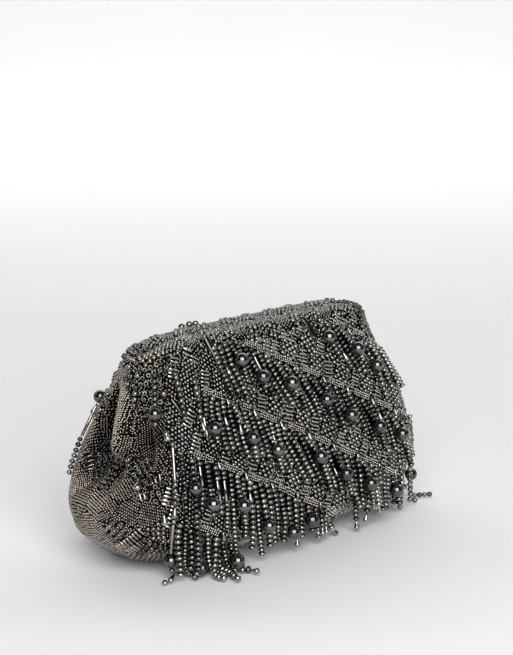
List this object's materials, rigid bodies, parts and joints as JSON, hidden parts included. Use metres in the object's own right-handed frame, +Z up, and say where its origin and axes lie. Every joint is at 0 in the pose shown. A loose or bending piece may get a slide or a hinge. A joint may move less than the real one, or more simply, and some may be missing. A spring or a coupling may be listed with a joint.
{
  "type": "beaded clutch",
  "caption": "Soft pouch clutch on a hidden mouth frame, paved with dark metallic beads, with diagonal tiers of bead fringe on both faces and bead strands along its foot.",
  "frame": {"origin": "middle of the base, on the surface that the clutch stands on", "axes": "+Z up, +X along the length from the near end to the far end, -Y towards the front face"},
  "size_m": [0.2497, 0.1304, 0.1374],
  "materials": {
    "beaded_cloth": "cloth paved with gunmetal beads",
    "satin_cloth": "black satin",
    "fringe_beads": "polished hematite-look beads",
    "frame_metal": "plain steel"
  },
  "bodies": {
    "root": {"base_panel": "satin_cloth", "front_panel": "beaded_cloth", "back_panel": "beaded_cloth", "near_gusset": "beaded_cloth", "far_gusset": "beaded_cloth", "mouth_frame": "frame_metal", "front_fringe_1": "fringe_beads", "front_fringe_2": "fringe_beads", "front_fringe_3": "fringe_beads", "front_fringe_4": "fringe_beads", "front_hem_fringe": "fringe_beads", "back_fringe_1": "fringe_beads", "back_fringe_2": "fringe_beads", "back_fringe_3": "fringe_beads", "back_fringe_4": "fringe_beads", "back_hem_fringe": "fringe_beads"}
  },
  "joints": []
}
